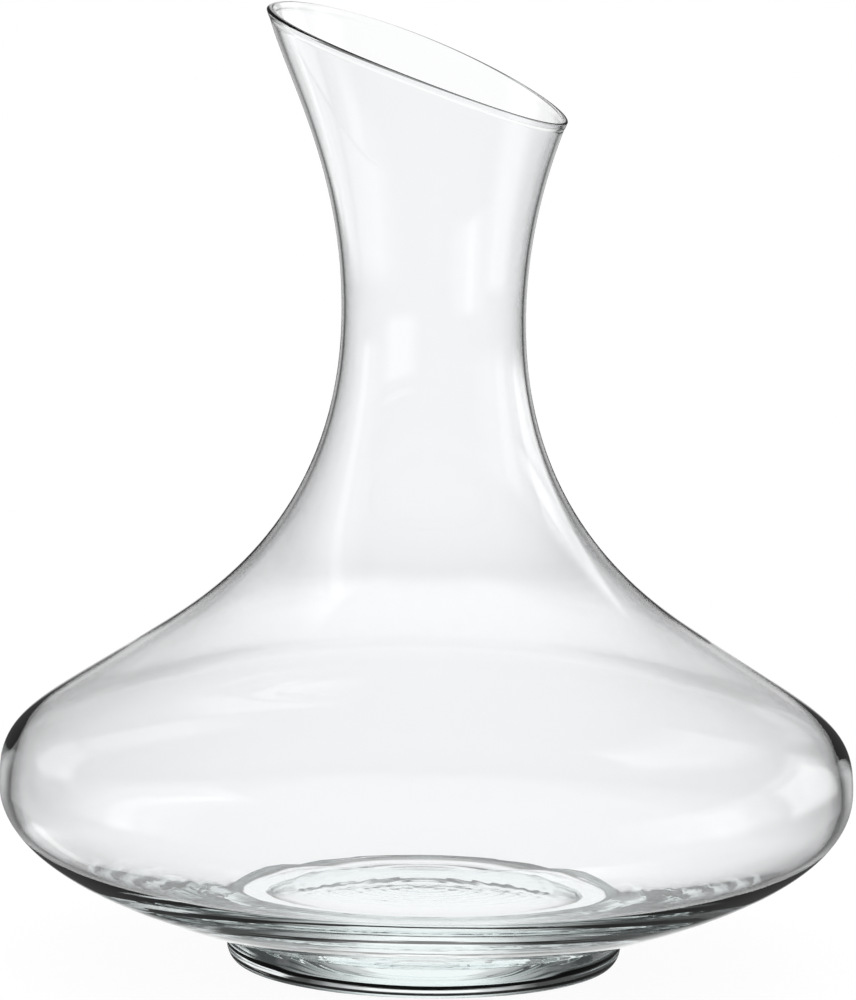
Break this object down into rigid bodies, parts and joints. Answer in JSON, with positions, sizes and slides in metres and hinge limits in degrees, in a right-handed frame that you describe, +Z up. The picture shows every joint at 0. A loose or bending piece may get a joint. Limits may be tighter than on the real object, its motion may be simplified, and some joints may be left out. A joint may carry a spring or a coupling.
{
  "type": "wine decanter",
  "caption": "Clear glass wine decanter: a wide, low bowl on a thick round foot, rising to a tall flared neck whose mouth is cut on a slant for pouring.",
  "frame": {"origin": "on the table, under the middle of the decanter", "axes": "+Z up along the axis that the glass is turned about; +X towards the low, pouring side of the slanted mouth; +Y across it"},
  "size_m": [0.216, 0.216, 0.2436],
  "materials": {
    "clear_glass": "clear, fire-polished",
    "foot_glass": "clear, pressed and polished"
  },
  "bodies": {
    "root": {"blown_body": "clear_glass", "foot": "foot_glass"}
  },
  "joints": []
}
